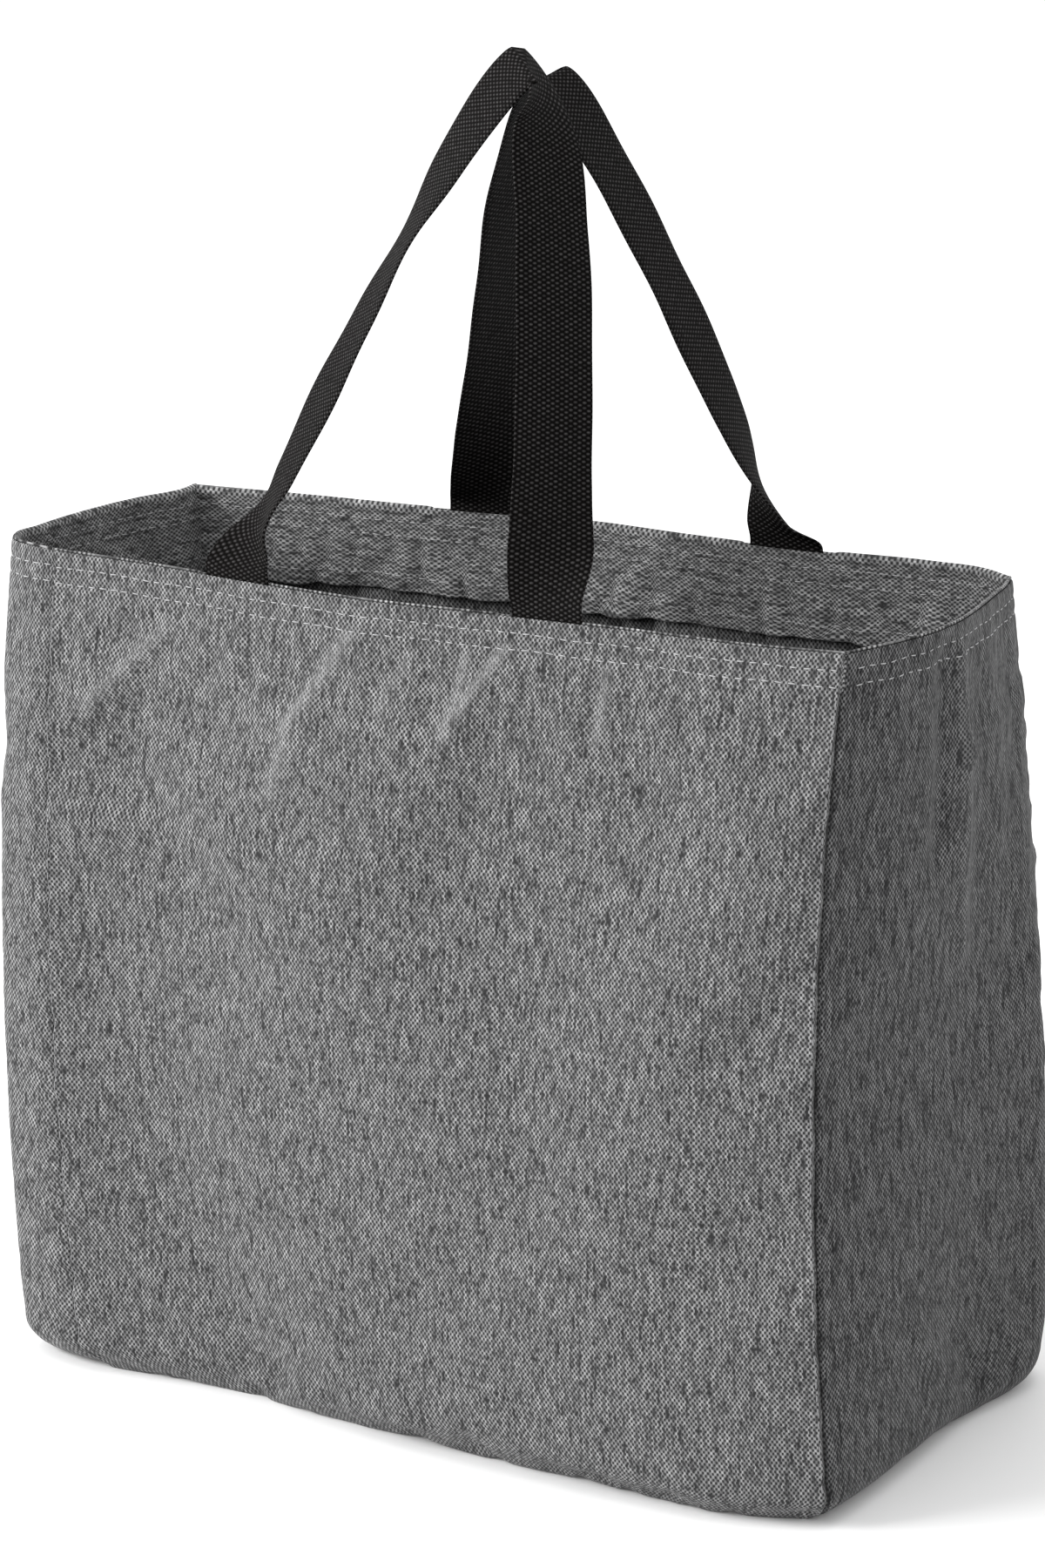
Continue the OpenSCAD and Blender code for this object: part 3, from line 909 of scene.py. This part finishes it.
def stitchShape():
    sides, stops = beadShape["sides"], beadShape["stops"]
    points, faces = [], []
    for a in stops:
        thick = math.sqrt(1 - (2 * a) ** 4) * (1 - beadShape["endThick"]) + beadShape["endThick"]
        middle = 0.5 * (1 - beadShape["dip"] * abs(2 * a) ** 3) - beadShape["sunk"]
        for i in range(sides):
            turn = math.radians(360 / sides * i)
            points.append((a, math.cos(turn) * thick * 0.5, math.sin(turn) * thick * 0.5 + middle))
    for i in range(len(stops) - 1):
        for j in range(sides):
            a, b = i * sides + j, i * sides + (j + 1) % sides
            faces.append((a, a + sides, b + sides, b))
    faces.append(tuple(range(sides)))
    faces.append(tuple(reversed([(len(stops) - 1) * sides + j for j in range(sides)])))
    return np.array(points), faces


beadPoints, beadFaces = stitchShape()


# beads of thread along a line of places; returns points and faces
def sewRow(path, outward, seedShift):
    run = runAlong(path)
    count = max(1, int(run[-1] / stitch["pitch"]))
    pitch = run[-1] / count
    points, faces = [], []

    def valueAt(values, distance):
        return np.array([np.interp(distance, run, values[:, c]) for c in range(3)])

    for k in range(count):
        middle = (k + 0.5) * pitch
        half = pitch * stitch["share"] / 2 * (1 + stitch["uneven"] * math.sin(k * 12.9 + seedShift))
        start, end = valueAt(path, middle - half), valueAt(path, middle + half)
        along = end - start
        across = np.cross(valueAt(outward, middle), along)
        across = across / np.linalg.norm(across)
        up = np.cross(along, across)
        up = up / np.linalg.norm(up)
        slant = across * stitch["wide"] * stitch["slant"] * math.sin(k * 7.7 + seedShift)
        centre = (start + end) / 2
        base = len(points)
        for a, b, c in beadPoints:
            lying = along * a + across * stitch["wide"] * b + up * stitch["proud"] * c
            points.append(centre + lying + slant * a * 2)
        faces.extend([tuple(base + i for i in face) for face in beadFaces])
    return points, faces


# turns every face outward
def turnOutward(piece):
    bpy.ops.object.select_all(action="DESELECT")
    piece.select_set(True)
    bpy.context.view_layer.objects.active = piece
    bpy.ops.object.mode_set(mode="EDIT")
    bpy.ops.mesh.select_all(action="SELECT")
    bpy.ops.mesh.normals_make_consistent(inside=False)
    bpy.ops.object.mode_set(mode="OBJECT")


def sewPiece(name, node, rows, material):
    points, faces = [], []
    for n, (path, outward) in enumerate(rows):
        rowPoints, rowFaces = sewRow(path, outward, n * 1.7)
        base = len(points)
        points.extend(rowPoints)
        faces.extend([tuple(base + i for i in face) for face in rowFaces])
    piece = newPiece(name, np.array(points), faces)
    turnOutward(piece)
    bpy.ops.object.shade_smooth()
    piece.data.materials.append(material)
    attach(piece, "bag")
    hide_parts(node)


def outerRow(wall, drop):
    s = np.linspace(-stitch["outerEnd"], stitch["outerEnd"], 240)
    q = np.full_like(s, drop) + stitch["waver"] * np.sin(s * 23 + drop * 900)
    return wallPoint(wall, s, q), -inwardOf(wall, s, q)


def innerRow(wall, drop):
    s = np.linspace(-stitch["innerEnd"], stitch["innerEnd"], 240)
    q = np.full_like(s, drop) + stitch["waver"] * np.sin(s * 19 + drop * 700)
    inward = inwardOf(wall, s, q)
    deep = facingDepth(wall, s, q) + bag["clothThick"] + stitch["clear"]
    return wallPoint(wall, s, q, detail=False) + inward * deep[:, None], inward


def cornerRow(wall, side):
    q = np.linspace(bag["rowDrops"][1] + stitch["cornerStart"], bag["wall"], 260)
    s = side * (1 - stitch["cornerInset"] / halfWidthAt(bag["height"] - q))
    return wallPoint(wall, s, q), -inwardOf(wall, s, q)


def bottomRow(wall):
    s = np.linspace(-stitch["floorEnd"], stitch["floorEnd"], 120)
    path = wallPoint(wall, s, bag["cut"])
    toMiddle = -path[:, :2] / np.linalg.norm(path[:, :2], axis=1, keepdims=True)
    path[:, :2] += toMiddle * stitch["floorInset"]
    path[:, 2] = bag["clothThick"] + stitch["floorLift"]
    return path, np.tile([0.0, 0.0, 1.0], (len(s), 1))


order = ("front", "right", "back", "left")
for node, drop in zip(("rim_topstitch_upper", "rim_topstitch_lower"), bag["rowDrops"]):
    rows = [outerRow(wall, drop) for wall in order] + [innerRow(wall, drop) for wall in order]
    sewPiece(node + "_thread", node, rows, paleThread)
sewPiece("facing_hem_thread", "facing_hem_stitch",
         [innerRow(wall, bag["hemDrop"]) for wall in order], paleThread)
sewPiece("corner_seam_thread", "corner_seam_stitch",
         [cornerRow(wall, side) for wall in ("front", "back") for side in (-1, 1)], greyThread)
sewPiece("bottom_seam_thread", "bottom_seam_stitch", [bottomRow(wall) for wall in order], greyThread)
print("stitching sewn")

# webbing handles
loop = {
    "gap": 0.001, "power": 0.7, "uprightRun": 0.2, "foldFrom": 0.86, "foldFull": 0.975,
    "cup": 0.5, "cupAt": 0.006, "cupReach": 0.016,              # the webbing cups just above the rim
    "narrow": 0.12, "narrowAt": 0.002, "narrowReach": 0.018,
    "ripple": 0.00025, "rippleTurn": 140, "edgeThin": 0.55,
    "lieLow": 0.0005, "lieHigh": 0.011, "clear": 0.00005, "sharpTurn": 50,
}
# the webbing's turn about its length, in degrees, by share of the rise: first the leg at the left
turns = {
    "front": (
        [(0, 0), (0.05, 18), (0.1, 50), (0.13, 57), (0.2, 52), (0.36, 48), (0.5, 51), (0.66, 58),
         (0.8, 48), (0.9, 43), (1, 46)],
        [(0, 0), (0.06, 14), (0.15, 46), (0.25, 56), (0.5, 61), (0.7, 66), (0.9, 84), (1, 122)],
    ),
    "back": (
        [(0, 0), (0.06, 26), (0.12, 48), (0.22, 65), (0.38, 78), (0.55, 85), (0.72, 85), (0.85, 90), (1, 96)],
        [(0, 0), (0.05, 28), (0.14, 62), (0.3, 82), (0.6, 87), (0.85, 90), (1, 97)],
    ),
}


def unit(vectors):
    return vectors / np.linalg.norm(vectors, axis=1, keepdims=True)


# place along the wall, from -1 to 1, of one end of a handle: 0 is the end at the left
def footRun(side, foot):
    kind = handles[side]
    x = kind["middle"] + (2 * foot - 1) * kind["span"] / 2 + kind["shift"]
    low, high = -1.0, 1.0
    for _ in range(40):
        mid = (low + high) / 2
        here = wallPoint(side, mid, 0.0, 0.0015, detail=False)[0]
        if (here < x) == (side == "front"):
            low = mid
        else:
            high = mid
    return (low + high) / 2


# the line of one handle from foot to foot, with directions across and through the webbing
def strapPath(side):
    kind = handles[side]
    sign = 1 if side == "front" else -1
    dense = np.sin(np.linspace(-math.pi / 2, math.pi / 2, 2400))
    v = 1 - np.abs(dense) ** (1 / loop["power"])
    deep = bag["clothThick"] + bag["webThick"] / 2
    feet = [wallPoint(side, footRun(side, foot), 0.0, deep, detail=False) for foot in (0, 1)]
    share = ((dense + 1) / 2)[:, None]
    foot = feet[0] * (1 - share) + feet[1] * share
    x = foot[:, 0] * (1 - v) + (dense * kind["span"] / 2 + kind["meetX"]) * v
    y = foot[:, 1] * (1 - v) - sign * kind["meet"] * v
    z = foot[:, 2] + loop["gap"] + (kind["rise"] - loop["gap"]) * v
    centre = np.stack([x, y, z], axis=-1)
    along = unit(np.gradient(centre, axis=0))
    upright = np.stack([0 * dense, 0 * dense, np.where(dense < 0, 1.0, -1.0)], axis=-1)
    k = np.minimum(1, v / loop["uprightRun"])[:, None]
    along = unit(along * k + upright * (1 - k))
    turn = np.radians(np.where(dense <= 0, *[curveThrough(leg, v) for leg in turns[side]]))
    facingX = np.where(dense <= 0, 1, -1) * np.cos(turn)
    flat = np.stack([facingX, -sign * np.sin(turn), 0 * turn], axis=-1)
    flat[:, 2] -= kind["tilt"] * v**6
    across = np.cross(unit(np.cross(along, flat)), along)
    fold = smoothStep(loop["foldFrom"], loop["foldFull"], v)[:, None] * kind["fold"]      # a slanting crease
    across = unit(across * (1 - fold) + unit(flat) * fold)
    return centre, across, unit(np.cross(along, across))


# evenly spaced rings; the sewn-in tails run down inside the seam from each end
def strapRings(side):
    path = strapPath(side)
    steps = runAlong(path[0])
    even = np.linspace(0, steps[-1], int(steps[-1] / web["step"]))
    centre, across, through = [
        np.stack([np.interp(even, steps, values[:, c]) for c in range(3)], axis=-1) for values in path]
    tailCount = int(web["tail"] / web["step"])
    fall = (np.arange(1, tailCount + 1) * web["step"])[:, None] * np.array([0, 0, -1.0])
    centre = np.concatenate([(centre[0] + fall)[::-1], centre, centre[-1] + fall])
    across = np.pad(across, ((tailCount, tailCount), (0, 0)), mode="edge")
    through = np.pad(through, ((tailCount, tailCount), (0, 0)), mode="edge")
    return centre, across, through


# upper and lower surface of the webbing, one row of places for each ring
def strapSurfaces(side, centre, across, through, place):
    sign = 1 if side == "front" else -1
    above = centre[:, 2] - bag["height"]
    length = runAlong(centre)
    cupped = loop["cup"] * np.exp(-((above - loop["cupAt"]) / loop["cupReach"]) ** 2)[:, None]
    cupped = np.maximum(cupped, 1e-4)
    narrow = loop["narrow"] * np.exp(-((above - loop["narrowAt"]) / loop["narrowReach"]) ** 2)
    half = web["width"] / 2 * (1 - narrow)[:, None]
    sideways = half * np.sin(place * cupped) / cupped
    inward = half * (np.cos(place * cupped) - 1) / cupped
    ripple = loop["ripple"] * np.sin(length * loop["rippleTurn"])[:, None] * place ** 3
    rings = centre[:, None] + across[:, None] * sideways[..., None]
    rings = rings + through[:, None] * (inward + ripple)[..., None]
    thick = bag["webThick"] * (1 - loop["edgeThin"] * np.abs(place) ** 10)[None, :, None]
    upper = rings + through[:, None] * thick / 2
    lower = rings - through[:, None] * thick / 2
    # at the rim the webbing lies flat between panel and facing
    flatShare = (1 - smoothStep(loop["lieLow"], loop["lieHigh"], above))[:, None, None]
    drop, lift = np.maximum(0, -above)[:, None], np.maximum(0, above)[:, None]
    faceSign = np.sign(np.sum(through * np.array([0, -sign, 0]), axis=1))[:, None]
    deep = bag["clothThick"] + bag["webThick"] / 2 + loop["clear"]
    half = half / bag["rimHalfWidth"]
    for foot, rows in enumerate((slice(None, len(above) // 2), slice(len(above) // 2, None))):
        s = footRun(side, foot) + np.sign(across[rows][:, :1] * sign) * place * half[rows]
        for surface, way in ((upper, -1), (lower, 1)):
            depth = deep + way * faceSign[rows] * thick[..., 0] / 2
            lying = wallPoint(side, s, drop[rows], depth, detail=False)
            lying[..., 2] += lift[rows]
            surface[rows] = surface[rows] * (1 - flatShare[rows]) + lying * flatShare[rows]
    return upper, lower, length


def makeHandle(side):
    kind = handles[side]
    place = np.linspace(-1, 1, web["crossPoints"])
    upper, lower, length = strapSurfaces(side, *strapRings(side), place)
    section = np.concatenate([upper, lower[:, ::-1]], axis=1)      # closed, twice the cross points
    rows, size = section.shape[:2]
    faces = [(i * size + j, i * size + (j + 1) % size, (i + 1) * size + (j + 1) % size, (i + 1) * size + j)
             for i in range(rows - 1) for j in range(size)]
    faces.append(tuple(range(size - 1, -1, -1)))
    faces.append(tuple((rows - 1) * size + j for j in range(size)))
    piece = newPiece(side + "_webbing", section.reshape(-1, 3), faces)
    mesh = piece.data
    layer = mesh.uv_layers.new(name="clothMap")
    acrossMap = np.concatenate([place, place[::-1]]) * web["width"] / 2
    vertexOf = np.zeros(len(mesh.loops), int)
    mesh.loops.foreach_get("vertex_index", vertexOf)
    uv = np.stack([acrossMap[vertexOf % size], length[vertexOf // size]], axis=-1)
    layer.data.foreach_set("uv", uv.astype(np.float32).ravel())
    turnOutward(piece)
    bpy.ops.object.shade_smooth_by_angle(angle=math.radians(loop["sharpTurn"]))
    mesh.materials.append(webFinish)
    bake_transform(piece)
    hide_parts(kind["swing"], kind["ends"])
    print(side, "webbing length %.0f mm" % (length[-1] * 1000))


makeHandle("front")
makeHandle("back")
print("handles made")
